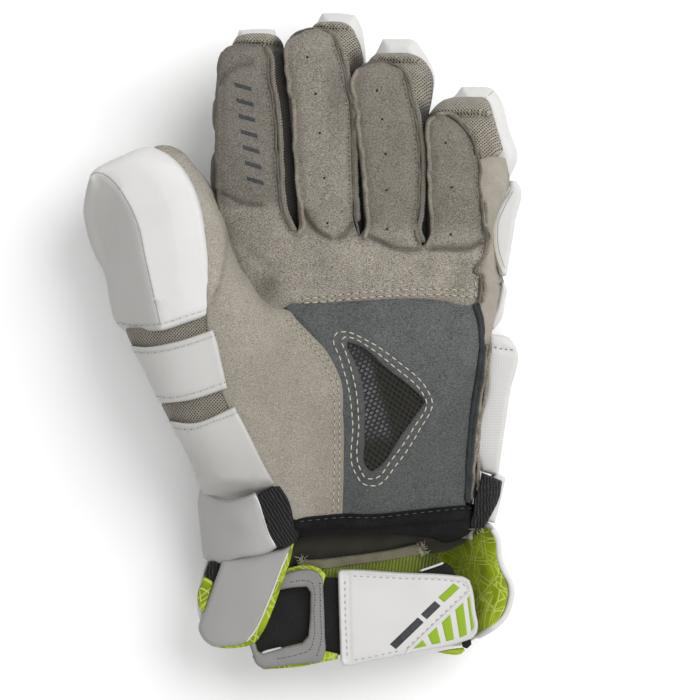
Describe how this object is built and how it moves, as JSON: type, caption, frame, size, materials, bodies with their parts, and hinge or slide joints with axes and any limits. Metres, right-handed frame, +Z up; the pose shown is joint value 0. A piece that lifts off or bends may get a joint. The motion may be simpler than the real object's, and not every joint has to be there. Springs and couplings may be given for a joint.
{
  "type": "lacrosse glove",
  "caption": "Left-hand padded field glove lying on its back, palm up, with a suede palm, segmented pads, mesh gussets and a strapped cuff.",
  "frame": {"origin": "middle of the footprint, on the ground that the glove's back lies on", "axes": "+X towards the little finger, +Y towards the fingertips, +Z up out of the palm"},
  "size_m": [0.2154, 0.3298, 0.0747],
  "materials": {
    "suede": "brushed suede with a short nap",
    "slate": "napped microfibre",
    "mesh": "ribbed stretch mesh",
    "net": "open net over dark cloth",
    "leather": "coated, satin",
    "leather_grey": "soft grained",
    "lining": "satin lining",
    "elastic": "ribbed webbing",
    "liner": "brushed lining"
  },
  "bodies": {
    "root": {"palm_suede": "suede", "palm_slate": "slate", "palm_mesh_window": "net", "thumb_overlay": "suede", "wrist_binding": "elastic", "pinky_gusset": "leather_grey", "back_shell": "leather_grey", "thumb_sleeve": "mesh", "thumb_cap": "leather", "thumb_mid_pad": "leather", "thumb_low_pad": "leather", "thumb_wrap": "leather", "elastic_left": "elastic", "elastic_right": "elastic", "wrist_liner": "liner", "cuff_pad": "leather", "cuff_lining": "lining", "cuff_flap": "leather", "cuff_flap_lining": "lining", "strap_loop": "leather", "strap_loop_lining": "lining", "strap_tab": "leather", "strap_elastic": "elastic", "knuckle_roll_left": "leather", "knuckle_roll_right": "leather", "back_plate_left": "leather", "back_plate_right": "leather", "wrist_roll": "leather", "side_pad_upper": "leather", "side_pad_short": "leather", "side_pad_long": "leather", "side_pad_low": "leather", "index_front": "suede", "index_sleeve": "mesh", "index_knuckle_pad": "leather", "index_mid_pad": "leather", "index_tip_pad": "leather", "middle_front": "suede", "middle_sleeve": "mesh", "middle_knuckle_pad": "leather", "middle_mid_pad": "leather", "middle_tip_pad": "leather", "ring_front": "suede", "ring_sleeve": "mesh", "ring_knuckle_pad": "leather", "ring_mid_pad": "leather", "ring_tip_pad": "leather", "pinky_front": "suede", "pinky_sleeve": "mesh", "pinky_knuckle_pad": "leather", "pinky_mid_pad": "leather", "pinky_tip_pad": "leather"}
  },
  "joints": []
}
